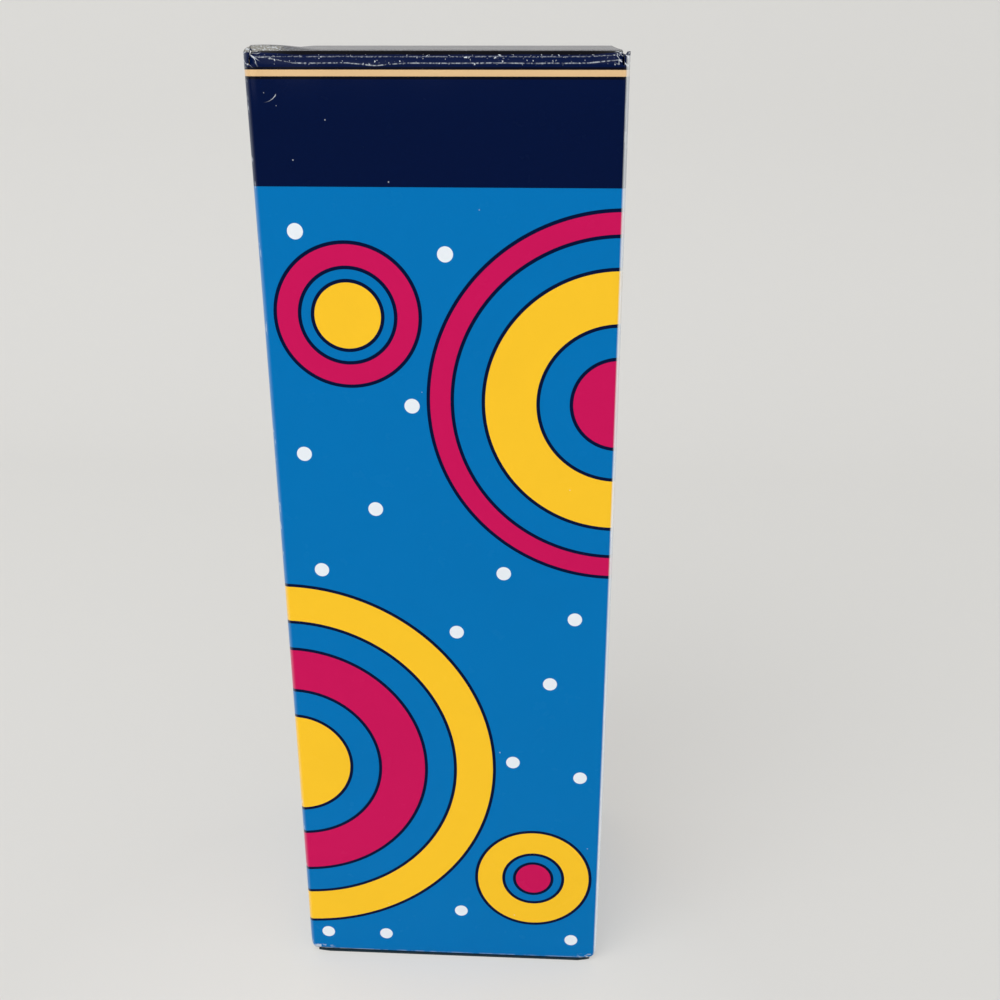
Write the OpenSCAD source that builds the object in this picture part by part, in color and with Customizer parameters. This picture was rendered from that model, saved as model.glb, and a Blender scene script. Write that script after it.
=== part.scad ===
// Folding carton of flexible drinking straws, standing upright.
// Millimetres, +Z up. The origin is the middle of the underside, and the printed front faces -Y.
// The carton takes its size from the bundle of straws that it holds.

/* [Straws] */
// Length of a straw with its bellows closed
straw_len = 193.7; // [150:0.1:240]
// Outside diameter of a straw
straw_d = 6.35; // [5:0.05:9]
// Wall thickness of a straw
straw_wall = 0.18; // [0.12:0.01:0.3]
// Room between neighbouring straws
straw_gap = 0.05; // [0.03:0.01:0.3]
// Straws in each row, from left to right
row_straws = 10; // [6:1:12]
// Rows of straws, from front to back
straw_rows = 10; // [6:1:12]
// Number of the shuffle that mixes the two colours
mix_number = 7; // [1:1:40]

/* [Bellows] */
// Length of the short arm, from its mouth end down to the bellows
arm_len = 46; // [30:1:60]
// Ridges in the bellows
ridges = 9; // [4:1:14]
// Length of one closed ridge
ridge_len = 1.8; // [1.2:0.1:2.5]
// Depth of the grooves between the ridges
groove_depth = 0.75; // [0.4:0.05:1]
// Most that a bellows is drawn out in the pack
draw_out = 1.2; // [0.2:0.1:3]

/* [Board] */
// Thickness of the paperboard
board_t = 0.5; // [0.4:0.05:0.6]
// Outside radius of the upright folds
fold_r = 1; // [0.8:0.05:1.2]
// Outside radius of the folds along the underside
foot_r = 1.2; // [0.8:0.05:1.4]
// How far the raw edges of the bottom flaps stop short of the folds
edge_inset = 0.3; // [0.1:0.05:0.6]
// Width of the glued seam flap
seam_w = 13; // [8:0.5:20]
// Room above the straws, up to the lid
head_room = 6.5; // [5:0.1:12]

/* [Lid] */
// Gap between each end of the lid and the side of the carton
lid_inset = 1.3; // [1.2:0.05:2]
// Height of the crushed front edge
crush_h = 2.3; // [1.8:0.1:3]
// Depth of the crushed front edge, up to the hinge
crush_d = 2.2; // [1.6:0.1:3]
// Drop of the upper crease below the top
crease_drop = 1; // [0.6:0.05:1.2]
// Distance of the upper crease behind the front
crease_in = 0.7; // [0.4:0.05:1]
// Distance behind the hinge of the ridge where the lid has buckled
ridge_in = 3; // [3:0.5:8]
// Rise of the ridge above the hinge
ridge_rise = 0.9; // [0.3:0.1:1.2]
// Clearance between the lid and what it closes on
lid_gap = 0.1; // [0.05:0.05:0.2]
// Clearance between the tuck flap and what lies beside it
tuck_gap = 0.3; // [0.2:0.05:0.5]
// Length of the tuck flap
tuck_len = 13.5; // [10:0.5:18]
// Radius of the tuck flap's free corners
tuck_r = 8; // [4:0.5:9]

/* [Dust flaps] */
// Reach of the dust flaps in from the sides
dust_len = 22; // [12:1:24]
// How much each edge of a dust flap tapers
dust_taper = 3.5; // [1:0.5:6]
// Gap between the dust flaps and what lies beside them
dust_gap = 0.4; // [0.3:0.05:0.8]
// Width of the notch beside each end of a dust flap's fold
notch_w = 0.4; // [0.2:0.05:0.6]

/* [Print] */
// Depth of the printed skin
ink_t = 0.1; // [0.08:0.01:0.15]
// Height of the dark band round the top
band_h = 23.3; // [12:0.1:40]
// Distance of the thin rule below the top
rule_drop = 3.1; // [3.1:0.1:8]
// Height of the thin rule
rule_t = 1.1; // [0.8:0.1:2]
// Width of the dark outlines
outline_w = 0.7; // [0.3:0.1:1]
// Radius of the small dots
dot_r = 1.5; // [0.8:0.1:2.5]
// Step that the printed circles grow by
ring_step = 8; // [5:0.5:9]
// Depth of the large upper circles below the top of the field
upper_drop = 41; // [39:1:50]
// Height of the large lower circles above its foot
lower_rise = 54; // [48:1:60]
// Distance of the small circles from its top and its foot
small_in = 24; // [20:1:30]

/* [Hidden] */
$fn = 48;
eps = 0.01;

// Bundle of straws
pitch = straw_d + straw_gap;
row_pitch = pitch * sin(60);
bundle_w = (row_straws - 0.5) * pitch + straw_d;
bundle_d = (straw_rows - 1) * row_pitch + straw_d;

// The tuck flap leans in just enough to swing clear of the back panel
lid_run = bundle_d + straw_gap + board_t - crush_d;
tuck_lean = asin((tuck_len + fold_r) / (2 * lid_run));
tuck_room = tuck_len * sin(tuck_lean) + board_t + 2 * tuck_gap;

// Carton round the bundle, with three layers of board underneath
// and the seam flap beside the straws
floor_top = 3 * board_t;
carton_w = bundle_w + 2 * straw_gap + 3 * board_t;
carton_d = bundle_d + straw_gap + tuck_room + 2 * board_t;
carton_h = floor_top + straw_len + draw_out + head_room + board_t;

// Top closure
shoulder_h = carton_h - board_t - lid_gap;
lid_w = carton_w - 2 * lid_inset;
crush_low = carton_h - crush_h;
hinge_y = crush_d - carton_d / 2;
lid_back = carton_d / 2 - board_t - tuck_gap;
crush_line = [[-carton_d / 2, crush_low],
              [crease_in - carton_d / 2, carton_h - crease_drop],
              [hinge_y, carton_h]];
lid_line = [[hinge_y + lid_gap, carton_h], [hinge_y + ridge_in, carton_h + ridge_rise],
            [lid_back - fold_r, carton_h]];

// Dust flaps run from behind the crushed edge to the path of the tuck flap
dust_front = hinge_y + board_t + dust_gap;
dust_back = hinge_y + (lid_back - hinge_y - board_t) * cos(tuck_lean) - dust_gap;

// Centres of the printed circles, from the middle of the front's field. The large ones
// are centred on an upright fold and go on round it.
field_mid = (carton_h - band_h) / 2;
fold_x = carton_w / 2;
large_low = [-fold_x, lower_rise - field_mid];
large_high = [fold_x, field_mid - upper_drop];
small_low = [0.55 * fold_x, small_in - field_mid];
small_high = [-0.52 * fold_x, field_mid - small_in];

// Each circle is [centre, outer, inner], with its radii in steps. An inner radius of 0 makes a disc.
yellow_circles = [[large_low, 1.5, 0], [large_low, 5.5, 4.5], [large_high, 3.25, 2],
                  [small_high, 0.8, 0], [small_low, 1.6, 0.9]];
magenta_circles = [[large_low, 3.6, 2.4], [large_high, 1.1, 0], [large_high, 4.6, 4.1],
                   [small_high, 1.7, 1.2], [small_low, 0.5, 0]];

// Dots, as shares of the way out from the middle to a fold, and to the top or foot of the field
white_dots = [[-0.785, 0.91], [0.03, 0.865], [-0.175, 0.535], [-0.815, 0.42], [-0.41, 0.29],
              [0.35, 0.135], [0.785, 0.02], [-0.755, 0.135], [0.06, -0.02], [0.64, -0.155],
              [0.41, -0.38], [0.845, -0.42], [0.06, -0.845], [0.815, -0.93], [-0.465, -0.93],
              [-0.87, -0.93]];

// Straws, with one shuffled number each
straw_count = row_straws * straw_rows;
colour_draw = rands(0, 1, straw_count, mix_number);
stretch_draw = rands(0, draw_out, straw_count, mix_number + 1);

module along_x(len) {
    translate([-len / 2, 0, 0]) rotate([90, 0, 90]) linear_extrude(len) children();
}

module along_y(len) {
    translate([0, len / 2, 0]) rotate([90, 0, 0]) linear_extrude(len) children();
}

module both_sides() {
    children();
    mirror([1, 0, 0]) children();
}

module rounded_rect(w, d, r) {
    square([w - 2 * r, d], center = true);
    square([w, d - 2 * r], center = true);
    for (x = [-1, 1], y = [-1, 1])
        translate([x * (w / 2 - r), y * (d / 2 - r)]) circle(r);
}

// Fold of the board that turns from +X towards +Y, and stands len tall
module fold(turn, len) {
    rotate_extrude(angle = turn) translate([fold_r - board_t, 0]) square([board_t, len]);
}

// Sheet that follows a line of points, with its outer face on them
module bent_sheet(line, t) {
    for (i = [0 : len(line) - 2]) {
        run = line[i + 1] - line[i];
        translate(line[i]) rotate(atan2(run[1], run[0])) translate([0, -t]) square([norm(run), t]);
    }
}

// Section from front to back: the front panel folds in over the outer bottom flap,
// which comes from the back panel
module depth_section() {
    translate([-carton_d / 2, board_t + foot_r])
        square([carton_d, shoulder_h - board_t - foot_r]);
    translate([foot_r - carton_d / 2, board_t]) square([carton_d - 2 * foot_r, foot_r + eps]);
    translate([foot_r - carton_d / 2, board_t + foot_r]) circle(foot_r);
    translate([carton_d / 2 - foot_r, foot_r]) circle(foot_r);
    translate([carton_d / 2 - foot_r, foot_r]) square([foot_r, board_t + eps]);
    translate([edge_inset - carton_d / 2, 0])
        square([carton_d - edge_inset - foot_r, board_t + eps]);
}

// Section from side to side: the side panels fold in over the other two layers
module width_section() {
    translate([0, 2 * board_t]) {
        translate([-carton_w / 2, foot_r]) square([carton_w, shoulder_h]);
        translate([foot_r - carton_w / 2, 0]) square([carton_w - 2 * foot_r, 2 * foot_r]);
        for (x = [-1, 1]) translate([x * (carton_w / 2 - foot_r), foot_r]) circle(foot_r);
    }
}

// What is cut from the upright folds and panels at the top, and at the glued seam
module panel_cuts() {
    translate([0, -carton_d / 2, crush_low + crush_h / 2])
        cube([carton_w - 2 * fold_r, 2 * (board_t + eps), crush_h], center = true);
    both_sides()
        translate([carton_w / 2 - board_t - eps, dust_front - notch_w, shoulder_h - fold_r])
            cube([board_t + 2 * eps, dust_back - dust_front + 2 * notch_w, 2 * fold_r]);
    translate([-carton_w / 2 - eps, carton_d / 2 - fold_r - edge_inset, floor_top])
        cube([board_t + fold_r + eps, fold_r + edge_inset + eps, carton_h]);
}

module panels() {
    difference() {
        intersection() {
            linear_extrude(shoulder_h) rounded_rect(carton_w, carton_d, fold_r);
            along_x(carton_w) depth_section();
            along_y(carton_d) width_section();
        }
        translate([0, 0, floor_top]) linear_extrude(carton_h)
            rounded_rect(carton_w - 2 * board_t, carton_d - 2 * board_t, fold_r - board_t);
        panel_cuts();
    }
}

// Three glued layers, with the side flaps meeting at a slit in the topmost one
module bottom_closure() {
    difference() {
        along_x(carton_w - 2 * edge_inset - 2 * board_t) intersection() {
            depth_section();
            translate([-carton_d / 2, 0]) square([carton_d, floor_top]);
        }
        translate([0, 0, floor_top])
            cube([2 * edge_inset, carton_d - 2 * board_t, 2 * board_t], center = true);
    }
}

// The back panel turns a corner and is glued inside the left side panel
module seam() {
    seam_top = shoulder_h - tuck_len;
    translate([board_t + fold_r - carton_w / 2, carton_d / 2 - fold_r, floor_top])
        rotate(90) fold(90, shoulder_h - floor_top);
    translate([board_t - carton_w / 2, 0, 0]) rotate([90, 0, 90]) linear_extrude(board_t)
        polygon([[carton_d / 2 - fold_r, floor_top], [carton_d / 2 - fold_r, seam_top],
                 [carton_d / 2 - seam_w, seam_top - seam_w / 2],
                 [carton_d / 2 - seam_w, floor_top + seam_w / 2]]);
}

module dust_flap() {
    root = carton_w / 2 - fold_r;
    tip = carton_w / 2 - dust_len;
    translate([root, dust_back, shoulder_h - fold_r])
        rotate([90, 0, 0]) fold(90, dust_back - dust_front);
    translate([0, 0, shoulder_h - board_t]) linear_extrude(board_t)
        polygon([[root, dust_front], [root, dust_back],
                 [tip, dust_back - dust_taper], [tip, dust_front + dust_taper]]);
}

// The front panel's top edge is crushed into two blunt creases, and ends at the hinge
module crushed_section(t) {
    intersection() {
        bent_sheet(crush_line, t);
        translate([-carton_d / 2, 0]) square([crush_d, carton_h]);
    }
}

module crushed_edge() {
    along_x(lid_w) crushed_section(board_t);
    along_x(lid_w) translate([-carton_d / 2, crush_low - board_t]) square([board_t, board_t]);
}

// Outermost skin of the upright panels between two heights
module wall_skin(low, high) {
    difference() {
        translate([0, 0, low]) linear_extrude(high - low) difference() {
            rounded_rect(carton_w, carton_d, fold_r);
            rounded_rect(carton_w - 2 * ink_t, carton_d - 2 * ink_t, fold_r - ink_t);
        }
        panel_cuts();
    }
}

module rule_skin() {
    wall_skin(carton_h - rule_drop - rule_t, carton_h - rule_drop);
}

// Shapes printed on the flat of one panel, which is w wide and faces away at distance out
module on_panel(turn, out, w) {
    rotate([0, 0, turn]) translate([0, ink_t - out, field_mid]) rotate([90, 0, 0])
        linear_extrude(ink_t) intersection() {
            children();
            square([w - 2 * fold_r - 2 * edge_inset, 2 * (field_mid - foot_r - floor_top)], center = true);
        }
}

// The same print on the front and the back, going on round each fold to the sides
module on_all_panels() {
    for (turn = [0, 180]) {
        on_panel(turn, carton_d / 2, carton_w) children();
        on_panel(turn + 90, carton_w / 2, carton_d) {
            translate([-(carton_w + carton_d) / 2, 0]) children();
            translate([(carton_w + carton_d) / 2, 0]) children();
        }
    }
}

module circles(list, grow) {
    for (c = list) translate(c[0]) difference() {
        circle(ring_step * c[1] + grow);
        if (c[2] > 0) circle(ring_step * c[2] - grow);
    }
}

// Magenta gives way to yellow, and the dots give way to both
module magenta_shapes() {
    difference() {
        circles(magenta_circles, 0);
        circles(yellow_circles, 0);
    }
}

module dot_shapes() {
    difference() {
        for (dot = white_dots) translate([dot[0] * fold_x, dot[1] * field_mid]) circle(dot_r);
        circles(concat(yellow_circles, magenta_circles), outline_w);
    }
}

module outline_shapes() {
    difference() {
        circles(concat(yellow_circles, magenta_circles), outline_w);
        circles(concat(yellow_circles, magenta_circles), 0);
    }
}

module carton() {
    color("#006CB2") difference() {
        union() {
            panels();
            bottom_closure();
            seam();
            crushed_edge();
            both_sides() dust_flap();
        }
        dark_print();
        yellow_print();
        magenta_print();
        white_print();
    }
}

// Free part of the tuck flap, hanging from y = 0 with two corners rounded
module tuck_outline(len) {
    intersection() {
        translate([lid_w / 2, lid_w / 2 - len]) rounded_rect(lid_w, lid_w, tuck_r);
        translate([0, -len]) square([lid_w, len]);
    }
}

module lid() {
    color("#051632") {
        along_x(lid_w)
            polygon(concat(lid_line, [for (k = [2 : -1 : 0]) lid_line[k] - [0, board_t]]));
        translate([-lid_w / 2, lid_back - fold_r, carton_h - fold_r])
            rotate([90, 0, 90]) rotate(-tuck_lean) {
                fold(90 + tuck_lean, lid_w);
                translate([fold_r, 0]) rotate([0, -90, 0])
                    linear_extrude(board_t) tuck_outline(tuck_len - fold_r);
            }
    }
}

// The bellows is a zigzag in the wall, and stretch is how far it is drawn out
module straw(stretch) {
    r = straw_d / 2;
    bellows_low = straw_len - arm_len - ridges * ridge_len;
    half_step = (ridge_len + stretch / ridges) / 2;
    side = concat([[r, 0]],
                  [for (k = [0 : 2 * ridges]) [r - (k % 2) * groove_depth, bellows_low + k * half_step]],
                  [[r, straw_len + stretch]]);
    inside = [for (k = [len(side) - 1 : -1 : 0]) side[k] - [straw_wall, 0]];
    rotate_extrude() polygon(concat(side, inside));
}

// Straws of one colour in every other row, counted from the front
module straws(low, high, first_row) {
    for (row = [first_row : 2 : straw_rows - 1], place = [0 : row_straws - 1]) {
        k = row * row_straws + place;
        x = (place - (row_straws - 1) / 2) * pitch + (2 * first_row - 1) * pitch / 4 + board_t / 2;
        y = board_t + straw_gap + straw_d / 2 + row * row_pitch - carton_d / 2;
        if (colour_draw[k] >= low && colour_draw[k] < high)
            translate([x, y, floor_top]) straw(stretch_draw[k]);
    }
}

module yellow_straws(first_row) {
    color("#E2E52C") straws(0, 0.5, first_row);
}

module magenta_straws(first_row) {
    color("#D81B78") straws(0.5, 1.01, first_row);
}

module dark_print() {
    difference() {
        wall_skin(carton_h - band_h, shoulder_h);
        rule_skin();
    }
    along_x(lid_w) crushed_section(ink_t);
    on_all_panels() outline_shapes();
}

module yellow_print() {
    rule_skin();
    on_all_panels() circles(yellow_circles, 0);
}

module magenta_print() {
    on_all_panels() magenta_shapes();
}

module white_print() {
    on_all_panels() dot_shapes();
}

module print_dark() {
    color("#051632") dark_print();
}

module print_yellow() {
    color("#F2C02D") yellow_print();
}

module print_magenta() {
    color("#C31955") magenta_print();
}

module print_white() {
    color("#E8EEF4") white_print();
}

carton();
lid();
yellow_straws(0);  // yellow_straws_odd_rows
yellow_straws(1);  // yellow_straws_even_rows
magenta_straws(0);  // magenta_straws_odd_rows
magenta_straws(1);  // magenta_straws_even_rows
print_dark();
print_yellow();
print_magenta();
print_white();
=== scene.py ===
# %% [markdown]
# # A carton of flexible drinking straws
#
# The carton is one sheet of printed paperboard, folded into a tube and closed at both ends, with a
# hundred straws standing in it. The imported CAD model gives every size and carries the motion. This
# script dresses it: the board becomes a thin folded sheet with print, gloss and wear, and the straws
# get their plastics.

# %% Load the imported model
import math

import bmesh
import bpy
from mathutils import Matrix, Vector


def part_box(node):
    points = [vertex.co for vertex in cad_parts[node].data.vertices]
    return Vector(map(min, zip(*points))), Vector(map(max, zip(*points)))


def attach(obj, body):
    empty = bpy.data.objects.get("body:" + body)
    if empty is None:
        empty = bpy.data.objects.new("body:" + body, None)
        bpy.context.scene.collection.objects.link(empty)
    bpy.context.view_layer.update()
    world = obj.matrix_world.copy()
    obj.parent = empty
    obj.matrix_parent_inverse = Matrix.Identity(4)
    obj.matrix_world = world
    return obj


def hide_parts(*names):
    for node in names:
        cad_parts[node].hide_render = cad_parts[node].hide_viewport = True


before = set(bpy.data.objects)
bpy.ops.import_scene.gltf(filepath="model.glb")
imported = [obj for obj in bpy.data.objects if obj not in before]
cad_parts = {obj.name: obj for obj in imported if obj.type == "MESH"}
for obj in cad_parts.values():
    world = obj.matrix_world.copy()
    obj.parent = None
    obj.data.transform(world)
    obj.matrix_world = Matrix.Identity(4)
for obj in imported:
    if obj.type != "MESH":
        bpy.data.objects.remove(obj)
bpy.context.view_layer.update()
print("nodes:", sorted(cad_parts))

# %% [markdown]
# ## Sizes
#
# The script thinks in millimetres, as the makers of cartons do, and turns a finished mesh into metres.
# The outside sizes come from the model's own boxes. The small sizes of folds and gaps are repeated, here
# or where they are first needed, because a box can't tell them.

# %% Sizes of the carton
MM = 0.001

_, carton_high = (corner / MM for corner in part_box("carton"))
_, lid_high = (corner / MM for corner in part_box("lid"))
half_w, half_d, top_z = carton_high
lid_half, lid_back = lid_high.x, lid_high.y
ridge_rise = lid_high.z - top_z

board_t = 0.5
fold_r = 1.0
shoulder = top_z - board_t - 0.1
crush_in, crush_down = 2.2, 2.3
crush_low = top_z - crush_down
hinge_y = crush_in - half_d
left_bow, right_bow = 0.12, 0.25
print(f"carton {2 * half_w:.2f} x {2 * half_d:.2f} x {top_z:.2f} mm, ridge {ridge_rise:.2f} mm")

# %% [markdown]
# ## Shader maths as plain sums
#
# A material is a graph of nodes. Written out by hand, each plus or minus is a node and two links. A small
# class wraps a socket instead, so a sum on it adds its own Math node and reads like arithmetic. Any other
# node comes from one method, which takes the settings first because they decide which sockets exist.

# %% A socket that does arithmetic
class Value:
    """One output in a material's graph."""

    def __init__(self, tree, socket):
        self.tree, self.socket = tree, socket

    def node(self, kind, settings, inputs, output=0):
        made = self.tree.nodes.new(kind)
        for name, value in settings.items():
            setattr(made, name, value)
        for name, value in inputs.items():
            if isinstance(value, Value):
                self.tree.links.new(value.socket, made.inputs[name])
            else:
                made.inputs[name].default_value = value
        return Value(self.tree, made.outputs[output])

    def math(self, operation, first, second=0.0, clamp=False):
        settings = {"operation": operation, "use_clamp": clamp}
        return self.node("ShaderNodeMath", settings, {0: first, 1: second})

    def __add__(self, other):
        return self.math("ADD", self, other)

    def __sub__(self, other):
        return self.math("SUBTRACT", self, other)

    def __mul__(self, other):
        return self.math("MULTIPLY", self, other)

    def __truediv__(self, other):
        return self.math("DIVIDE", self, other)

    __radd__ = __add__
    __rmul__ = __mul__

    def __rsub__(self, other):
        return self.math("SUBTRACT", other, self)

    def __abs__(self):
        return self.math("ABSOLUTE", self)

    def root(self):
        return self.math("SQRT", self)

    def least(self, other):
        return self.math("MINIMUM", self, other)

    def most(self, other):
        return self.math("MAXIMUM", self, other)

    def share(self):
        return self.math("ADD", self, 0.0, clamp=True)

    def over(self, edge, soft=0.04):
        """1 where the value is above the edge, 0 below it, with a soft step between."""
        return ((self - edge) / soft + 0.5).share()


def painted(a, b, factor):
    """Colour b laid over colour a where the factor is 1."""
    return factor.node("ShaderNodeMix", {"data_type": "RGBA"}, {0: factor, 6: a, 7: b}, output=2)


# %% [markdown]
# Every material starts the same way: a Principled shader, and the object's own coordinates in
# millimetres. Object coordinates stay with the piece when its lid swings, so the print doesn't slide.

# %% A new material and its coordinates
def start(name):
    """A material, its shader node, the place on the piece in millimetres, and its three parts."""
    material = bpy.data.materials.new(name)
    material.use_nodes = True
    tree = material.node_tree
    shader = tree.nodes["Principled BSDF"]
    root = Value(tree, None)
    place = root.node("ShaderNodeTexCoord", {}, {}, output="Object")
    place = root.node("ShaderNodeVectorMath", {"operation": "SCALE"}, {0: place, "Scale": 1 / MM})
    parts = [root.node("ShaderNodeSeparateXYZ", {}, {0: place}, output=k) for k in range(3)]
    return material, shader, place, parts


def noise(place, size, detail=2.0, stretch=(1, 1, 1)):
    """Smooth random value from 0 to 1, with spots of the given size in millimetres."""
    if stretch != (1, 1, 1):
        place = place.node("ShaderNodeVectorMath", {"operation": "MULTIPLY"}, {0: place, 1: stretch})
    return place.node("ShaderNodeTexNoise", {}, {"Vector": place, "Scale": 1 / size, "Detail": detail})


def apart(place, point):
    """Distance from a point."""
    return place.node(
        "ShaderNodeVectorMath", {"operation": "DISTANCE"}, {0: place, 1: point}, output="Value"
    )


def bumped(height, strength, distance):
    """Normals that a height in millimetres gives."""
    return height.node(
        "ShaderNodeBump", {}, {"Strength": strength, "Distance": distance * MM, "Height": height}
    )


def colour(hexed):
    """Linear colour of a web colour."""
    parts = [int(hexed[k : k + 2], 16) / 255 for k in (0, 2, 4)]
    return [p / 12.92 if p <= 0.04045 else ((p + 0.055) / 1.055) ** 2.4 for p in parts] + [1.0]


def feed(shader, name, value):
    """Link a value to the shader, or set it there."""
    if isinstance(value, Value):
        value.tree.links.new(value.socket, shader.inputs[name])
    else:
        shader.inputs[name].default_value = value


# %% [markdown]
# ## Print
#
# The print is offset ink under a clear gloss varnish: a dark band with a thin yellow rule round the top,
# and circles on a blue field. It could be an image, but then it would blur up close. Distances from a few
# centres give edges that stay sharp. The large circles are centred on the upright folds, so the distance
# round a fold is the sum of the distances on its two panels.

# %% Inks, and what shows where they are gone
NAVY = colour("000F36")
BLUE = colour("006FB2")
YELLOW = colour("F6C22A")
PALE_YELLOW = colour("D7B486")
MAGENTA = colour("C61256")
WHITE = colour("E4EAF0")
BLACK = colour("060402")
# Pale colour of wear, also used for painted sheen, glint and reflection.
PALE_WEAR_AND_SHEEN = colour("D5DBE2")
# White of the painted highlight and the bare board on the front right fold.
HIGHLIGHT_AND_BARE_WHITE = colour("F6FAFC")
# Painted shade for the shadowed gap at the foot.
FOOT_SHADE = colour("00222F")
# Grey of torn fibres, also used for the painted reflection on the lid.
FIBRE_AND_REFLECTION_GREY = colour("86847D")
print("navy ink in linear light:", [round(part, 4) for part in NAVY])

# %% Places and sizes of the print
band_low = top_z - 23.3
rule_low, rule_high = top_z - 4.2, top_z - 3.1
rule_dark_low, rule_dark_high = rule_low - 0.5, rule_high + 0.45
field_mid = band_low / 2
outline_w = 0.7
dot_r = 1.5

# Each ring is an outer and an inner radius.
low_rings = {"yellow": [(12.0, 0), (44.0, 36.0)], "magenta": [(28.8, 19.2)]}
high_rings = {"yellow": [(26.0, 16.0)], "magenta": [(8.8, 0), (36.8, 32.8)]}
low_up, high_up = 54 - field_mid, field_mid - 41
small_rings = [
    ((-0.52 * half_w, field_mid - 24), {"yellow": [(6.4, 0)], "magenta": [(13.6, 9.6)]}),
    ((0.55 * half_w, 24 - field_mid), {"yellow": [(12.8, 7.2)], "magenta": [(4.0, 0)]}),
]

# Each dot's place is a share of the way from the middle of the blue field to its edge.
white_dots = [
    (-0.785, 0.91), (0.03, 0.865), (-0.175, 0.535), (-0.815, 0.42), (-0.41, 0.29), (0.35, 0.135),
    (0.785, 0.02), (-0.755, 0.135), (0.06, -0.02), (0.64, -0.155), (0.41, -0.38), (0.845, -0.42),
    (0.06, -0.845), (0.815, -0.93), (-0.465, -0.93), (-0.87, -0.93),
]
print(f"blue field {band_low:.1f} mm high, with {len(white_dots)} dots on each wide panel")


# %% Masks of the circles
def band_mask(radius, outer, inner):
    mask = 1 - radius.over(outer)
    return mask * radius.over(inner) if inner > 0 else mask


def ring_masks(radius, rings):
    """Masks of the yellow, the magenta and their dark outlines round one centre."""
    masks = {}
    for ink, bands in rings.items():
        for outer, inner in bands:
            mask = band_mask(radius, outer, inner)
            wide = band_mask(radius, outer + outline_w, inner - outline_w)
            masks[ink] = masks[ink].most(mask) if ink in masks else mask
            masks["outline"] = masks["outline"].most(wide) if "outline" in masks else wide
    return masks


def wrapped_radius(x, y, z, side, up):
    """Distance from a centre on one front fold, and on the back fold across from it."""
    front = abs(x - side * half_w) + abs(y + half_d)
    back = abs(x + side * half_w) + abs(y - half_d)
    across = front.least(back)
    rise = z - (field_mid + up)
    return (across * across + rise * rise).root()


# %% [markdown]
# The layers go on as a press lays them: the field, the white dots, the outlines, the two inks, and last
# the dark band with its rule. Dots and small rings belong to the wide panels alone, so they are counted
# along the panel and leave out the sides. The back panel reads from the other end, as the front does.

# %% Colours of the print
def print_colours(x, y, z):
    """Ink over the whole board: the dark band, the rule, and the circles with their outlines."""
    along = x * y.math("SIGN", y) * -1
    flat = along.node("ShaderNodeCombineXYZ", {}, {"X": along, "Z": z})
    wide_panels = abs(y).over(half_d - fold_r - 0.1, 0.2)

    layers = [
        (ring_masks(wrapped_radius(x, y, z, -1, low_up), low_rings), None),
        (ring_masks(wrapped_radius(x, y, z, 1, high_up), high_rings), None),
    ]
    for (across, up), rings in small_rings:
        layers.append((ring_masks(apart(flat, (across, 0, field_mid + up)), rings), wide_panels))

    dots = [apart(flat, (across * half_w, 0, field_mid + up * field_mid)) for across, up in white_dots]
    nearest = dots[0]
    for dot in dots[1:]:
        nearest = nearest.least(dot)
    inks = painted(BLUE, WHITE, (1 - nearest.over(dot_r)) * wide_panels)

    for ink, paint in (("outline", NAVY), ("magenta", MAGENTA), ("yellow", YELLOW)):
        for masks, limit in layers:
            mask = masks[ink] * limit if limit else masks[ink]
            inks = painted(inks, paint, mask)
    inks = painted(inks, NAVY, z.over(band_low))

    walls = abs(y).over(half_d - 0.45, 0.1).most(abs(x).over(half_w - 0.75, 0.1))
    inks = painted(inks, BLACK, band_mask(z, rule_dark_high, rule_dark_low) * walls * 0.8)
    return painted(inks, PALE_YELLOW, band_mask(z, rule_high, rule_low) * walls)


# %% [markdown]
# ## Wear, with painted sheen, glint and highlight
#
# Board cracks where it is folded: the ink and varnish flake off along the crease and the white board
# shows through. The marks are broken lines, so each one is a thin band round a crease with noise cutting
# gaps in it. The top front edge was crushed, and has two such creases, which meet near the corners. The
# upper one's pale line is flaked ink and a painted glint.

# %% Creases along the top
lower_crease, upper_crease = top_z - 2.0, top_z - 0.95
rise_left, rise_right = -25.5, 26.5
dent_x = -10.6


def crease_mask(place, rise, size):
    """A pale broken line where the rise above a crease is near 0, with gaps cut by noise: flaked ink, and
    on the upper crease also a painted glint.
    """
    grain = noise(place, size, 4.0, (1, 1, 0.3))
    wide = noise(place, 5.0, 2.0, (1, 0, 0)) * 0.14
    return (1 - abs(rise).over(wide, 0.12)) * grain.over(0.5, 0.22)


def top_creases(place, x, y, z):
    """The two blunt creases of the front edge, which wander and meet near the corners."""
    sway = noise(place, 7.0, 2.0, (1, 0, 0)) - 0.5
    left = ((rise_left - x) / 5).share()
    right = ((x - rise_right) / 6).share()
    dent = 1 - abs((x - dent_x) / 5).least(1.0)
    lower = z - (lower_crease + left * 0.95 + right * 0.6 - dent * 0.4 + sway * 0.3)
    upper = z - (upper_crease + right * 0.35 + sway * 0.2)
    marks = crease_mask(place, lower, 0.5) * 0.58
    # Painted glint: the upper crease's pale line, with flaked ink.
    marks = marks.most(crease_mask(place, upper, 0.35) * 0.36)
    flecks = noise(place, 0.5, 3.0, (1, 1, 0.6)).over(0.67, 0.05)
    marks = marks.most(flecks * band_mask(z, top_z - 0.6, crush_low) * 0.8)
    front = 1 - y.over(3.5 - half_d, 0.1)
    return marks * front * (1 - abs(x).over(lid_half - 0.5, 0.3))


# %% [markdown]
# The upright folds rub against other cartons on a shelf. Three of them lost some varnish, and carry a
# painted sheen round the bend. The one at the front right has a narrow pale strip that is a painted
# highlight and rubbed board. It could be a separate sliver of mesh, but then it would have an edge of its
# own. A mask on the distance from the rim stays in the print, and the rim follows the bow of the panels.

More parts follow.
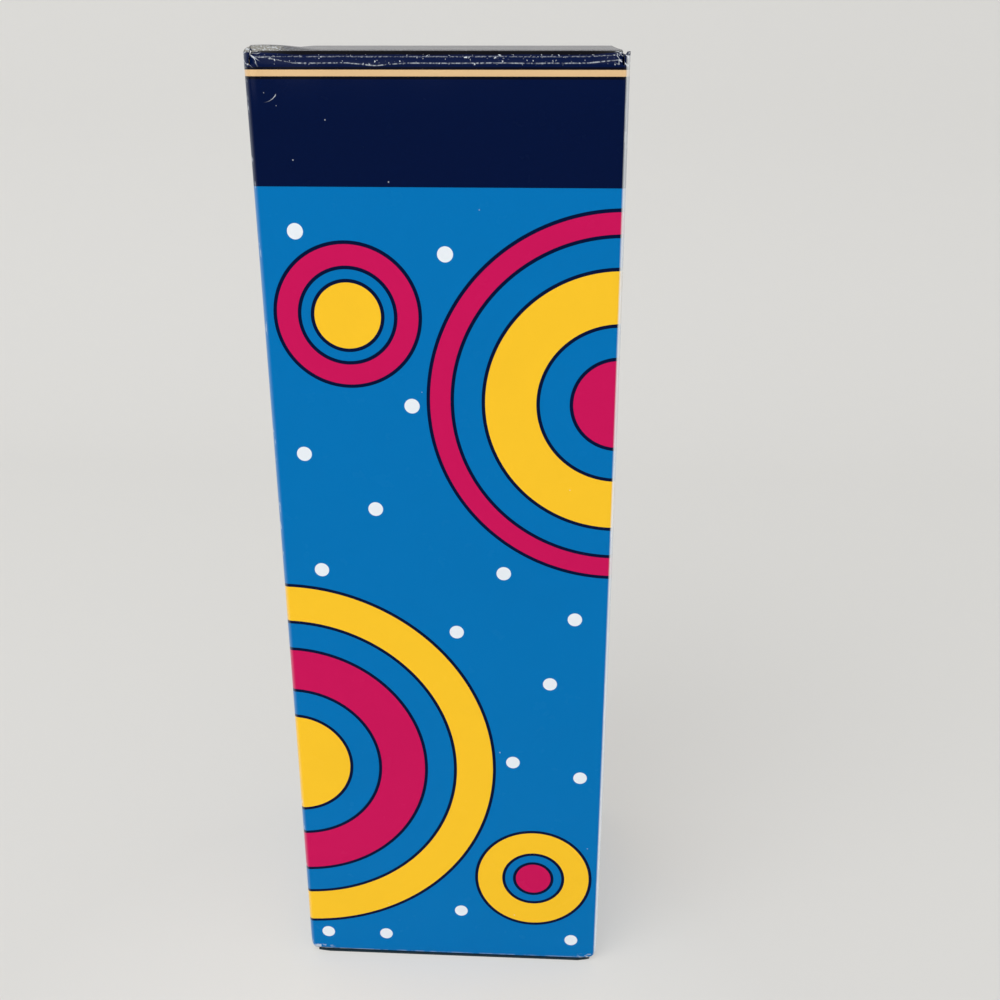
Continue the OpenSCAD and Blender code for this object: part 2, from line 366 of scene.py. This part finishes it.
# %% Upright folds
def fold_place(x, y, z):
    """How far a point is in from the side's rim, and whether it is near the front or the back."""
    right = x.over(0)
    swell = z * (top_z - z) * (4 / top_z**2)
    rim = half_w - right * (1 - swell) * right_bow - (1 - right) * swell * left_bow
    near = 1 - (half_d - abs(y)).over(1.35, 0.5)
    return rim - abs(x), near


def fold_highlight_and_wear(place, x, y, z):
    """The front right fold: a narrow pale strip of painted highlight and rubbed-down white board."""
    inset, near = fold_place(x, y, z)
    # Painted highlight: the pale strip down the front right fold, with rubbed board.
    strip = ((0.78 - inset) / 0.36).share() * (1 - z.over(top_z - 0.7, 0.4))
    streaks = 1.02 - noise(place, 3.0, 3.0, (1, 1, 0.15)) * 0.3
    dull = 1 - z.over(band_low) * 0.22
    return strip * near * x.over(0) * (1 - y.over(0)) * streaks * dull


def rubbed_and_sheen_folds(place, x, y, z):
    """The other upright folds: a painted sheen and rubbed varnish whiten round the bend, with chips."""
    inset, near = fold_place(x, y, z)
    other = 1 - x.over(0) * (1 - y.over(0))
    streaks = 0.85 + (noise(place, 3.0, 3.0, (1, 1, 0.15)) - 0.5) * 0.7
    soft = (1 - inset / 1.1).share()
    # Painted sheen: the whitening round the bend, with rubbed varnish.
    level = other * soft * soft * (0.46 - z.over(band_low) * 0.14)
    chips = noise(place, 0.9, 4.0, (1, 1, 0.3)).over(0.62, 0.08)
    return near * ((level * streaks).most(soft.over(0.5, 0.3) * chips * 0.6))


# %% [markdown]
# Torn board shows its fibres. At the corners of the top they are thin white strands, which are the narrow
# band where a stretched noise passes its middle value. At the left end of the lid the print is gone, and
# grey fibres show up to a ragged edge. Along the rest of the lid's front a thin grey film is a painted
# reflection of the pale room at a low angle. The foot is rubbed at its corners, where the carton was set
# down.

# %% Torn corners, a painted reflection on the lid, and rubbed foot
frayed_x = -25.0
frayed_and_reflection_back = hinge_y + 4.2
foot_line = 1.2


def corner_fibres(place, x, y, z):
    """Torn white fibres at the two front corners of the top, and a few at the other corners."""
    near = ((abs(x) - (half_w - 3.2)) / 3.2).share() * ((z - (top_z - 3.0)) / 2.4).share()
    near = near * ((abs(y) - (half_d - 4.0)) / 3.0).share()
    slant = x.node("ShaderNodeVectorRotate", {"rotation_type": "Y_AXIS"}, {0: place, "Angle": 0.8})
    strands = 1 - abs(noise(slant, 1.1, 2.0, (1, 1, 0.25)) - 0.5).over(0.022, 0.02)
    return strands * near.over(0.12, 0.2) * 0.85


def frayed_and_reflection_top(place, x, y, z):
    """Grey fibres where the lid and the wall are torn, full at the left end and thin elsewhere, and a
    painted reflection as a thin grey film along the top.
    """
    end = ((frayed_x - x) / 6.0).share()
    ragged = y + noise(place, 1.6, 4.0) * 3.0
    over = z.over(top_z - 0.15, 0.3) * (1 - ragged.over(frayed_and_reflection_back, 0.9))
    fuzz = noise(place, 0.55, 4.0)
    # Painted reflection: a thin grey film along the lid's front, where the varnish mirrors the pale room.
    painted_reflection_film = (0.3 + fuzz * 0.3) * (1 - abs(x).over(lid_half - 0.3, 0.2))
    return (end * 0.75 + fuzz).over(0.78, 0.3).most(painted_reflection_film) * over


def worn_foot(place, x, y, z):
    """A pale line where the front folds in at the foot, and rubbed fibres at its two corners."""
    line = 1 - abs(z - foot_line).over(0.16, 0.2)
    line = line * noise(place, 2.2, 4.0, (1, 1, 0)).over(0.5, 0.2) * 0.3
    corner = ((abs(x) - (half_w - 6.0)) / 3.0).share() * abs(y).over(half_d - 4.0, 1.0)
    rubbed = noise(place, 0.9, 4.0, (1, 1, 1.4)).over(0.53, 0.08) * (1 - abs(z - 1.5).over(0.7, 0.4))
    return line.most(corner * rubbed * 0.75)


# %% [markdown]
# A few specks and one curved scratch sit on the front, clear of the folds. Each has its own place, so
# they are given one by one. The scratch is a part of a thin ring that widens from left to right.

# %% Specks and a scratch on the front
scratch_middle, scratch_r = (-31.3, 0, 197.6), 2.95
scratch_left, scratch_right, scratch_high = -31.2, -28.85, 197.0

# Each speck is its place across and up the front, and its radius.
specks = [
    (-20.2, 191.7, 0.13), (-26.5, 184.7, 0.14), (-9.1, 180.9, 0.15), (11.2, 58.3, 0.18),
    (14.6, 13.2, 0.16), (-15.1, 15.2, 0.12), (-31.0, 196.3, 0.08), (-28.9, 194.1, 0.07),
    (25.3, 121.0, 0.12), (-4.0, 141.0, 0.10), (31.2, 33.0, 0.14), (7.5, 176.0, 0.11),
]


def front_marks(x, y, z):
    flat = x.node("ShaderNodeCombineXYZ", {}, {"X": x, "Z": z})
    way = ((x - scratch_left) / 2.3).share()
    marks = 1 - abs(apart(flat, scratch_middle) - scratch_r).over(way * 0.06, 0.07)
    marks = marks * way * (1 - x.over(scratch_right, 0.15)) * (1 - z.over(scratch_high))
    for across, up, radius in specks:
        marks = marks.most((1 - apart(flat, (across, 0, up)).over(radius * 0.8, 0.12)) * 0.6)
    return marks * (1 - y.over(0.2 - half_d, 0.1)) * 0.9


# Wear marks, with the painted sheen of the folds and the painted glint of the upper crease.
def wear_and_sheen_mask(place, x, y, z):
    marks = top_creases(place, x, y, z).most(rubbed_and_sheen_folds(place, x, y, z))
    marks = marks.most(corner_fibres(place, x, y, z)).most(worn_foot(place, x, y, z))
    return marks.most(front_marks(x, y, z))


print(f"{len(specks)} specks and a scratch of radius {scratch_r} mm")


# %% [markdown]
# ## The three sides of the board
#
# Carton board is grey inside and white outside, and only its outer side is printed and varnished. So it
# takes three materials: the print, the bare inside, and the cut edge. The inside and the cut edge are
# painted dark at the foot as shade, and the cut edge dark navy near the top as shade in the slits, with
# pale fibres. The varnish is thin, so its mirror light is weak seen straight on and strong at a low
# angle.

# %% Printed board
varnish_level = 0.045
# Place of the painted shade line under the lid's front edge.
painted_shade_line_y = hinge_y - 0.4


def printed_board():
    """Ink, wear, painted sheen and varnish, with painted shade as a dark line under the lid's front edge
    and as a dark band at the foot.
    """
    material, shader, place, (x, y, z) = start("printed_board")
    inks = print_colours(x, y, z)
    # Painted shade: a near-black line under the lid's front edge, where the hinge gap lies in shadow.
    painted_shade_line = 1 - abs(y - painted_shade_line_y).over(0.42, 0.15)
    inks = painted(inks, BLACK, painted_shade_line * z.over(top_z - 1.2) * 0.9)
    rim = abs(x).over(half_w - 2.0, 0.5).most(abs(y).over(half_d - 2.0, 0.5))
    # Painted shade: a dark band where the front folds in at the foot, higher at the left where the foot
    # is lifted.
    foot_shade_high = 0.85 + ((-5 - x) / 25).share() * 0.5
    inks = painted(inks, FOOT_SHADE, (1 - z.over(foot_shade_high, 0.3)) * rim * 0.92)
    inks = painted(inks, BLACK, (noise(place, 30.0, 3.0) - 0.5) * 0.12)

    wear_and_sheen = wear_and_sheen_mask(place, x, y, z)
    # Torn fibres and the grey painted reflection on the lid's front, kept off the painted shade line.
    frayed_and_reflection = frayed_and_reflection_top(place, x, y, z) * (1 - painted_shade_line * (1 - abs(x).over(lid_half - 1.0, 0.5)))
    fibres = painted(FIBRE_AND_REFLECTION_GREY, PALE_WEAR_AND_SHEEN, noise(place, 0.4, 3.0).over(0.56, 0.12) * 0.6)
    # Wear with painted sheen and glint, then the painted highlight on the front right fold.
    inks = painted(painted(inks, PALE_WEAR_AND_SHEEN, wear_and_sheen), HIGHLIGHT_AND_BARE_WHITE, fold_highlight_and_wear(place, x, y, z))
    feed(shader, "Base Color", painted(inks, fibres, frayed_and_reflection))

    gloss = 0.22 + noise(place, 4.0, 3.0) * 0.08
    gloss = gloss * (1 - z.over(top_z - 0.15, 0.3) * 0.28)
    feed(shader, "Roughness", (gloss + wear_and_sheen * 0.4 + frayed_and_reflection * 0.5).share())
    feed(shader, "Specular IOR Level", varnish_level)
    height = noise(place, 0.5, 2.0) * 0.010 + noise(place, 14.0, 2.0) * 0.12
    feed(shader, "Normal", bumped(height, 1.0, 1.0))
    return material


# %% Bare inside and cut edge
def bare_board():
    material, shader, place, (_, _, z) = start("bare_board")
    fibre = noise(place, 0.35, 4.0, (1, 1, 0.3))
    cloud = noise(place, 6.0, 3.0)
    paper = painted(colour("CFC9BD"), colour("B9B1A2"), (fibre * 0.6 + cloud * 0.4).over(0.5, 0.5))
    # Painted shade: near the foot the flap's inner side, seen in the gap, is dark.
    feed(shader, "Base Color", painted(FOOT_SHADE, paper, z.over(0.85, 0.2)))
    feed(shader, "Roughness", 0.8 + fibre * 0.15)
    feed(shader, "Specular IOR Level", 0.3)
    feed(shader, "Normal", bumped(fibre * 0.04, 0.6, 1.0))
    return material


def cut_edge():
    material, shader, place, (_, _, z) = start("cut_edge")
    fibre = noise(place, 0.15, 4.0)
    raw = painted(colour("C9C4BA"), colour("8E887C"), fibre.over(0.5, 0.3))
    # Painted shade: near the top the cut edge is dark navy, as the slits beside the lid are in shadow,
    # with pale fibres.
    raw = painted(raw, painted(NAVY, PALE_WEAR_AND_SHEEN, fibre.over(0.64, 0.08)), z.over(shoulder - 1.6, 0.4))
    # Painted shade: the cut edge is dark at the foot.
    feed(shader, "Base Color", painted(FOOT_SHADE, raw, z.over(0.8, 0.3)))
    feed(shader, "Roughness", 0.9)
    feed(shader, "Normal", bumped(fibre * 0.05, 0.8, 1.0))
    return material


board_materials = [printed_board(), bare_board(), cut_edge()]
print("board materials:", [m.name for m in board_materials])

# %% [markdown]
# ## From a bmesh to a piece
#
# Each sheet is modelled as its outer face alone, and a Solidify modifier gives it the board's thickness
# inwards. That keeps the printed face exactly where the CAD has it. The modifier also gives the inside
# and the cut edges their own materials.

# %% Make a board piece
def board_piece(bm, name, body, replaced):
    bmesh.ops.remove_doubles(bm, verts=bm.verts, dist=0.002)
    bmesh.ops.recalc_face_normals(bm, faces=bm.faces)
    for face in bm.faces:
        face.smooth = True
    bmesh.ops.scale(bm, vec=(MM, MM, MM), verts=bm.verts)
    mesh = bpy.data.meshes.new(name)
    bm.to_mesh(mesh)
    bm.free()
    piece = bpy.data.objects.new(name, mesh)
    bpy.context.scene.collection.objects.link(piece)
    for material in board_materials:
        mesh.materials.append(material)
    wall = piece.modifiers.new("wall", "SOLIDIFY")
    wall.thickness = board_t * MM
    wall.offset = -1
    wall.use_even_offset = True
    wall.material_offset, wall.material_offset_rim = 1, 2
    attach(piece, body)
    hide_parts(*replaced)
    print(name, len(mesh.polygons), "faces on the outer side")


def cut(bm, axis, places):
    """Cut the sheet across at each place on an axis, so that it can bend there."""
    normal = [0, 0, 0]
    normal[axis] = 1
    for place in places:
        point = [0, 0, 0]
        point[axis] = place
        geom = list(bm.verts) + list(bm.edges) + list(bm.faces)
        bmesh.ops.bisect_plane(bm, geom=geom, dist=1e-5, plane_co=point, plane_no=normal)


def drawn_out(bm, edges, move):
    """Extrude edges and move their new ends, and return the new outer edges."""
    new = bmesh.ops.extrude_edge_only(bm, edges=edges)["geom"]
    ends = [item for item in new if isinstance(item, bmesh.types.BMVert)]
    for vert in ends:
        vert.co = move(vert.co)
    return [item for item in new if isinstance(item, bmesh.types.BMEdge)]


# %% [markdown]
# ## Walls
#
# The blank's four panels wrap round in one open strip: it starts with the left panel's cut edge, goes
# round the front, the right and the back, and ends as the narrow seam flap that is glued inside the left
# panel. So the plan starts as an open line of six points, and a vertex bevel rounds its four corners.

# %% Plan of the walls
edge_inset = 0.3
seam_w = 13.0


def wall_plan(bm):
    """The line of the outer faces, seen from above, with its corners rounded."""
    seam_x = board_t - half_w
    points = [
        (-half_w, half_d - fold_r - edge_inset),
        (-half_w, -half_d),
        (half_w, -half_d),
        (half_w, half_d),
        (seam_x, half_d),
        (seam_x, half_d - seam_w),
    ]
    verts = [bm.verts.new((x, y, 0)) for x, y in points]
    for pair in zip(verts, verts[1:]):
        bm.edges.new(pair)
    bmesh.ops.bevel(
        bm, geom=verts[1:-1], offset=fold_r, offset_type="OFFSET", affect="VERTICES",
        segments=6, profile=0.5, material=-1,
    )
    return bm


def outward(co):
    """Direction out of the carton at a point of the plan, or just inside it."""
    middle_x = max(-half_w + fold_r, min(half_w - fold_r, co.x))
    if co.x < 0 and co.y > 0:
        middle_x = max(-half_w + fold_r + board_t, co.x)
    middle_y = max(-half_d + fold_r, min(half_d - fold_r, co.y))
    return Vector((co.x - middle_x, co.y - middle_y, 0)).normalized()


# %% [markdown]
# The flaps underneath are folded over each other, so the side, front and back panels end at different
# heights: each one stops above the layers that lie under it. At a corner the foot blends from one height
# to the next. The row of edges at the foot is drawn in and down in six small steps, as the fold is.

# %% Raise the walls and fold the foot in
foot_r = 1.2
foot_in = 0.92
foot_steps = 6


def foot_height(way):
    """Underside of a panel's bottom fold, for a panel that faces a given way."""
    return way.x**2 * 2 * board_t + max(-way.y, 0) ** 2 * board_t


def raised_walls():
    """The walls up to the shoulder, and the row of edges where the foot ends."""
    bm = wall_plan(bmesh.new())
    row = list(bm.edges)
    for vert in bm.verts:
        vert.co.z = foot_height(outward(vert.co)) + foot_r
    drawn_out(bm, row, lambda co: Vector((co.x, co.y, shoulder)))
    turns = [math.radians(90 / foot_steps * step) for step in range(foot_steps + 1)]
    for last_turn, turn in zip(turns, turns[1:]):
        inward = foot_in * (math.cos(last_turn) - math.cos(turn))
        down = Vector((0, 0, foot_r * (math.sin(turn) - math.sin(last_turn))))
        row = drawn_out(bm, row, lambda co: co - outward(co) * inward - down)
    return bm, row


# %% Bottom flaps
front_flap_gap = 6


def straight(edges, axis, place):
    """The edge whose two ends both lie at a place on an axis, and which runs along a panel."""
    found = [e for e in edges if all(abs(v.co[axis] - place) < 0.01 for v in e.verts)]
    return [max(found, key=lambda e: e.calc_length())]


def bottom_flaps(bm, row):
    """Draw each panel's flap from its fold to its free end: back, front, right, left."""
    flaps = [
        (1, half_d - foot_in, edge_inset - half_d),
        (1, foot_in - half_d, half_d - front_flap_gap),
        (0, half_w - foot_in, edge_inset),
        (0, foot_in - half_w, -edge_inset),
    ]
    for axis, fold, end in flaps:

        def reach(co):
            moved = co.copy()
            moved[axis] = end
            return moved

        drawn_out(bm, straight(row, axis, fold), reach)


# %% [markdown]
# ## Top of the walls
#
# The front panel's top edge is blunt from handling: two soft creases lead up to the hinge of the lid. It
# is drawn out row by row from the crushed height, and the creases wander a little from left to right.
# The side panels fold over into short dust flaps, each spun round its own fold line.

# %% Crushed front edge
# Each row is how far it lies in from the front and down from the top.
crush_rows = [
    (0.05, 2.1), (0.17, 1.8), (0.38, 1.45), (0.58, 1.16), (0.74, 0.98), (0.98, 0.80),
    (1.35, 0.56), (1.75, 0.30), (2.05, 0.09), (crush_in, 0.0),
]


def wander(x, phase):
    """Small smooth wobble from left to right, from 0 to 1."""
    return 0.5 + 0.3 * math.sin(x * 0.21 + phase) + 0.2 * math.sin(x * 0.53 + 2 * phase)


def pressed(x, inward, down):
    """Place of a point of the blunt edge: sharper towards the corners, and dented here and there."""
    blunt = 0.35 + 0.65 * min(1, (lid_half - x) / 5, (x + lid_half) / 8)
    inward = inward**2 / crush_in * (1 - blunt) + inward * blunt
    down = down**2 / crush_down * (1 - blunt) + down * blunt
    sway = math.sin(math.pi * down / crush_down)
    dent = 0.24 * sway * wander(x, 1.3)
    return Vector((x, inward - half_d + dent, top_z - down - 0.12 * sway * wander(x, 4.1)))


def crushed_edge(bm):
    drop = [
        f for f in bm.faces
        if f.calc_center_median().z > crush_low
        and f.calc_center_median().y < fold_r / 2 - half_d
        and abs(f.calc_center_median().x) < half_w - fold_r
    ]
    bmesh.ops.delete(bm, geom=drop, context="FACES")
    row = [
        e for e in bm.edges
        if all(abs(v.co.z - crush_low) < 0.01 and v.co.y < 0.01 - half_d for v in e.verts)
        and all(abs(v.co.x) < lid_half + 0.01 for v in e.verts)
    ]
    for inward, down in crush_rows:
        row = drawn_out(bm, row, lambda co: pressed(co.x, inward, down))


# %% Dust flaps
dust_front, dust_back = hinge_y + 0.9, 27.886
dust_len, dust_taper = 22.0, 3.5
dust_parts = 3
notch_w = 0.4
dust_fold_z = shoulder - fold_r


def dust_flap(bm, side):
    edge_x = side * half_w

    def between(co, low, high):
        return abs(co.x - edge_x) < 0.01 and low < co.y < high and co.z > dust_fold_z - 0.01

    drop = [
        f for f in bm.faces
        if between(f.calc_center_median(), dust_front - notch_w, dust_back + notch_w)
        and f.calc_center_median().z > dust_fold_z
    ]
    bmesh.ops.delete(bm, geom=drop, context="FACES")
    hinge = [
        e for e in bm.edges
        if all(between(v.co, dust_front - 0.01, dust_back + 0.01) for v in e.verts)
        and all(v.co.z < dust_fold_z + 0.01 for v in e.verts)
    ]
    spun = bmesh.ops.spin(
        bm, geom=hinge, cent=(edge_x - side * fold_r, 0, dust_fold_z), axis=(0, 1, 0),
        angle=-side * math.pi / 2, steps=6, use_merge=False,
    )["geom_last"]
    row = [item for item in spun if isinstance(item, bmesh.types.BMEdge)]
    middle = (dust_front + dust_back) / 2
    half = (dust_back - dust_front) / 2
    step = (dust_len - fold_r) / dust_parts
    shrink = 1 - dust_taper / dust_parts / half
    for _ in range(dust_parts):
        row = drawn_out(
            bm, row,
            lambda co: Vector((co.x - side * step, middle + (co.y - middle) * shrink, co.z)),
        )


# %% [markdown]
# A filled carton isn't quite square: its sides bow by up to a quarter of a millimetre towards the right,
# and the corners of its foot are blunt. The move is only ever inwards, so that the carton stays inside
# the size that the CAD model gives. A lattice could do it, but a sum on each vertex is shorter, and the
# lid can share it.

# %% Bow the panels
def bow(bm):
    for vert in bm.verts:
        share = vert.co.z / top_z
        swell = 4 * share * (1 - share)
        vert.co.x += right_bow * (swell - 1) * max(vert.co.x, 0) / half_w
        vert.co.x += left_bow * swell * max(-vert.co.x, 0) / half_w
        near_side = max(0, 1 - (half_w - abs(vert.co.x)) / 4.0)
        near_front = max(0, 1 - (half_d - abs(vert.co.y)) / 4.0)
        corner = max(0, 1 - vert.co.z / 4.5) ** 2 * near_side * near_front
        blunt = 1.0 if vert.co.x > 0 else 0.4
        vert.co.x -= math.copysign(blunt * corner, vert.co.x)
        vert.co.y -= math.copysign(0.4 * corner, vert.co.y)
        vert.co.z += 0.6 * blunt * corner


# %% [markdown]
# Beside the ends of the lid, the front's two corner posts stand free, and their tops are torn. The left
# one rises in a round end that leans in towards the lid. The right one only slants. Both are moves of
# the vertices that the cuts have already put there, so the sheet stays in one piece.

# %% Frayed top corners of the front
post_rise, post_lean_in, post_lean_back = 1.38, 0.55, 0.5
slant_rise, slant_drop = 0.9, 0.35


def fray(bm):
    for vert in bm.verts:
        across = (abs(vert.co.x) - lid_half) / (half_w - lid_half)
        crushed = across < 0.05 and vert.co.y > 0.02 - half_d
        if vert.co.z < shoulder - 0.5 or across < -0.01 or crushed or vert.co.y > 1.5 - half_d:
            continue
        if vert.co.x < 0:
            vert.co.z += post_rise * math.sqrt(max(0, 1 - across**2))
            vert.co.x += post_lean_in * max(0, 1 - across)
            vert.co.y += post_lean_back * max(0, 1 - across)
        else:
            vert.co.z += slant_rise * across - slant_drop


# %% [markdown]
# The carton is now put together in the order of its making: walls, foot and bottom flaps, then the cuts
# that let the sheet bend, then the top. The cuts are close together where the sheet bends most.

# %% The carton
heights = [2.8, 3.6, 4.5] + [1.5 + 10 * k for k in range(1, 20)] + [crush_low, dust_fold_z]
panel_ends = [-lid_half, lid_half, fold_r - half_w, half_w - fold_r]


def carton_board():
    bm, row = raised_walls()
    bottom_flaps(bm, row)
    cut(bm, 2, heights)
    cut(bm, 0, panel_ends + [2.0 * k for k in range(-16, 17)])
    cut(bm, 1, [dust_front - notch_w, dust_front, dust_back, dust_back + notch_w])
    cut(bm, 1, [5.0 * k for k in range(-5, 6)])
    crushed_edge(bm)
    for side in (-1, 1):
        dust_flap(bm, side)
    fray(bm)
    bow(bm)
    printed = ["print_dark", "print_yellow", "print_magenta", "print_white"]
    board_piece(bm, "carton_board", "carton", ["carton", *printed])


carton_board()

# %% [markdown]
# ## Lid
#
# The lid is a flat panel with a tuck flap along its back edge. It starts as one edge at the hinge, which
# is drawn back, spun round the fold and drawn down. The tuck flap's two free corners are rounded while
# it is still one face, because a bevel can't reach past a neighbouring edge. The real lid has buckled:
# behind its hinge it stands up in a soft ridge, high at the left, where its end also splays outwards.

# %% Buckle of the lid
ridge_in = 3.0
ridge_back = 26
ridge_top = ridge_rise - 0.03
splay_out = 0.95


def eased(share):
    """Smooth step from 0 to 1."""
    share = max(0, min(1, share))
    return share * share * (3 - 2 * share)


def buckle(bm):
    """Raise the ridge and splay the left end, on the top panel alone."""
    for vert in bm.verts:
        x, back = vert.co.x, vert.co.y - hinge_y
        if vert.co.z < top_z - 0.01 or back > lid_back - hinge_y - 2:
            continue
        high = 0.12 + 0.84 * eased((-21 - x) / 10) - 0.06 * eased((-32.1 - x) / 1.2)
        rise = eased(back / ridge_in) if back < ridge_in else 1 - eased((back - ridge_in) / ridge_back)
        vert.co.z += ridge_top * high * rise
        splay = eased((-31.2 - x) / 1.9) * eased((back - 0.6) / 1.2) * (1 - eased((back - 6) / 12))
        vert.co.x -= splay_out * splay


# %% Lid and tuck flap
tuck_len = 13.5
tuck_r = 8.0
tuck_lean = math.radians(7.633)


def lid_board():
    bm = bmesh.new()
    hinge = bm.edges.new([bm.verts.new((x, hinge_y + 0.1, top_z)) for x in (-lid_half, lid_half)])
    fold_y = lid_back - fold_r
    row = drawn_out(bm, [hinge], lambda co: Vector((co.x, fold_y, co.z)))
    spun = bmesh.ops.spin(
        bm, geom=row, cent=(0, fold_y, top_z - fold_r), axis=(1, 0, 0),
        angle=-(math.pi / 2 + tuck_lean), steps=8, use_merge=False,
    )["geom_last"]
    row = [item for item in spun if isinstance(item, bmesh.types.BMEdge)]
    run = tuck_len - fold_r
    down = Vector((0, -math.sin(tuck_lean) * run, -math.cos(tuck_lean) * run))
    row = drawn_out(bm, row, lambda co: co + down)
    bmesh.ops.bevel(
        bm, geom=list(row[0].verts), offset=tuck_r, offset_type="OFFSET", affect="VERTICES",
        segments=8, profile=0.5, material=-1,
    )
    cut(bm, 0, [-32.6, -31.9, -31.0] + [1.5 * k for k in range(-20, 22)])
    cut(bm, 1, [hinge_y + 0.6 * k for k in range(1, 11)] + [hinge_y + 3.5 * k for k in range(2, 16)])
    cut(bm, 2, [top_z - fold_r - 2.5 * k for k in range(1, 5)])
    buckle(bm)
    bow(bm)
    board_piece(bm, "lid_board", "lid", ["lid"])


lid_board()

# %% [markdown]
# ## Straws
#
# The straws keep their CAD shapes. Thin polypropylene lets some light through and has a satin sheen, so
# the shader gets a little transmission and a low roughness that varies along the straw.

# %% Straw plastic
def straw_plastic(name, deep, pale):
    material, shader, place, _ = start(name)
    cloud = noise(place, 8.0, 2.0, (1, 1, 0.2))
    feed(shader, "Base Color", painted(colour(deep), colour(pale), cloud.over(0.5, 0.6)))
    feed(shader, "Roughness", 0.28 + cloud * 0.12)
    feed(shader, "Transmission Weight", 0.15)
    feed(shader, "IOR", 1.49)
    feed(shader, "Normal", bumped(noise(place, 0.6, 2.0, (1, 1, 0.1)) * 0.02, 0.5, 1.0))
    return material


straw_kinds = {
    "yellow": straw_plastic("yellow_plastic", "E9EC2A", "F4F64E"),
    "magenta": straw_plastic("magenta_plastic", "E01A7C", "EE4A9C"),
}
for name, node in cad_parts.items():
    for kind, material in straw_kinds.items():
        if name.startswith(kind):
            node.data.materials.clear()
            node.data.materials.append(material)
print("straws:", [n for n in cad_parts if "straws" in n])

# %% [markdown]
# ## Floor, light and camera
#
# The carton stands on a pale sheet that curves up behind it. A white paper under a strong lamp would do,
# but that lamp would also bleach the print. So the paper glows a little by itself towards the camera,
# with its own colour, and still takes a part of the real light, which keeps the carton's soft shadow.

# %% Paper of the stage
paper_glow = 0.62
painted_light_spot, painted_light_reach = (-14, -68, 0), 75


def stage_paper():
    """Pale paper, with a painted pool of light just in front of the carton."""
    material, shader, place, _ = start("stage_paper")
    # Painted light: the paper is paler in a pool just in front of the carton.
    pale = (1.25 - apart(place, painted_light_spot) / painted_light_reach).share()
    feed(shader, "Base Color", painted(colour("DBDAD7"), colour("F0EFEC"), pale))
    feed(shader, "Roughness", 0.7)
    feed(shader, "Specular IOR Level", 0.2)
    kinds = ("Is Camera Ray", "Is Glossy Ray", "Is Transmission Ray")
    rays = [place.node("ShaderNodeLightPath", {}, {}, output=kind) for kind in kinds]
    seen = rays[0].most(rays[1]).most(rays[2]) * paper_glow
    glow = place.node("ShaderNodeEmission", {}, {"Color": colour("DBDAD7"), "Strength": 1.0})
    own = Value(place.tree, shader.outputs["BSDF"])
    both = place.node("ShaderNodeMixShader", {}, {0: seen, 1: own, 2: glow})
    place.tree.links.new(both.socket, place.tree.nodes["Material Output"].inputs["Surface"])
    return material


# %% Floor and backdrop
sheet_half_w, sheet_front = 1500.0, -900.0
bend_y, bend_r = 300.0, 160.0
sheet_up = 1500.0


def stage_sheet():
    bm = bmesh.new()
    near = bm.edges.new([bm.verts.new((x, sheet_front, 0)) for x in (-sheet_half_w, sheet_half_w)])
    row = drawn_out(bm, [near], lambda co: Vector((co.x, bend_y, co.z)))
    spun = bmesh.ops.spin(
        bm, geom=row, cent=(0, bend_y, bend_r), axis=(1, 0, 0), angle=math.pi / 2, steps=24,
        use_merge=False,
    )["geom_last"]
    row = [item for item in spun if isinstance(item, bmesh.types.BMEdge)]
    drawn_out(bm, row, lambda co: co + Vector((0, 0, sheet_up)))
    for face in bm.faces:
        face.smooth = True
    bmesh.ops.recalc_face_normals(bm, faces=bm.faces)
    bmesh.ops.scale(bm, vec=(MM, MM, MM), verts=bm.verts)
    mesh = bpy.data.meshes.new("stage_sheet")
    bm.to_mesh(mesh)
    bm.free()
    sheet = bpy.data.objects.new("stage_sheet", mesh)
    bpy.context.scene.collection.objects.link(sheet)
    mesh.materials.append(stage_paper())
    print("stage sheet:", len(mesh.polygons), "faces")


stage_sheet()

# %% [markdown]
# The light is soft and even: a bright room, one large lamp from the upper left that gives the faint
# shadow on the right, and a weak one above the front. At this level a colour renders about as it is
# written.

# %% Lamps and room
room_strength = 0.69


def lamp(name, place, aim, size, power):
    data = bpy.data.lights.new(name, "AREA")
    data.size = size
    data.energy = power
    made = bpy.data.objects.new(name, data)
    made.location = place
    made.rotation_euler = (Vector(aim) - Vector(place)).to_track_quat("-Z", "Y").to_euler()
    bpy.context.scene.collection.objects.link(made)
    print("lamp", name, "of", power, "W")


lamp("key", place=(-0.6, -0.9, 1.1), aim=(0, 0, 0.1), size=1.2, power=10.0)
lamp("over", place=(-0.15, -0.38, 0.75), aim=(0, -0.05, 0.0), size=0.5, power=0.9)
world = bpy.data.worlds.new("room")
world.use_nodes = True
world.node_tree.nodes["Background"].inputs["Color"].default_value = (1, 1, 1, 1)
world.node_tree.nodes["Background"].inputs["Strength"].default_value = room_strength
bpy.context.scene.world = world

# %% [markdown]
# The camera stands close and a little above the lid, so the carton narrows towards its foot and the lid
# is seen almost edge-on. Its place and angles were fitted to the four corners of the front and then to
# the edges of the carton.

# %% Camera
camera_place = (0.022831, -0.249125, 0.207471)
pitch, roll, yaw = (math.radians(a) for a in (22.056, -0.044, 3.022))

camera_data = bpy.data.cameras.new("camera")
camera_data.lens = 42.195
camera_data.sensor_width = 36.0
camera_data.clip_start = 0.01
camera = bpy.data.objects.new("camera", camera_data)
bpy.context.scene.collection.objects.link(camera)
turn = Matrix.Rotation(yaw, 4, "Z") @ Matrix.Rotation(math.pi / 2 - pitch, 4, "X")
turn = turn @ Matrix.Rotation(roll, 4, "Z")
camera.matrix_world = Matrix.Translation(camera_place) @ turn
bpy.context.scene.camera = camera
bpy.context.scene.view_settings.view_transform = "Standard"
print("camera:", camera_data.lens, "mm lens at", camera_place)
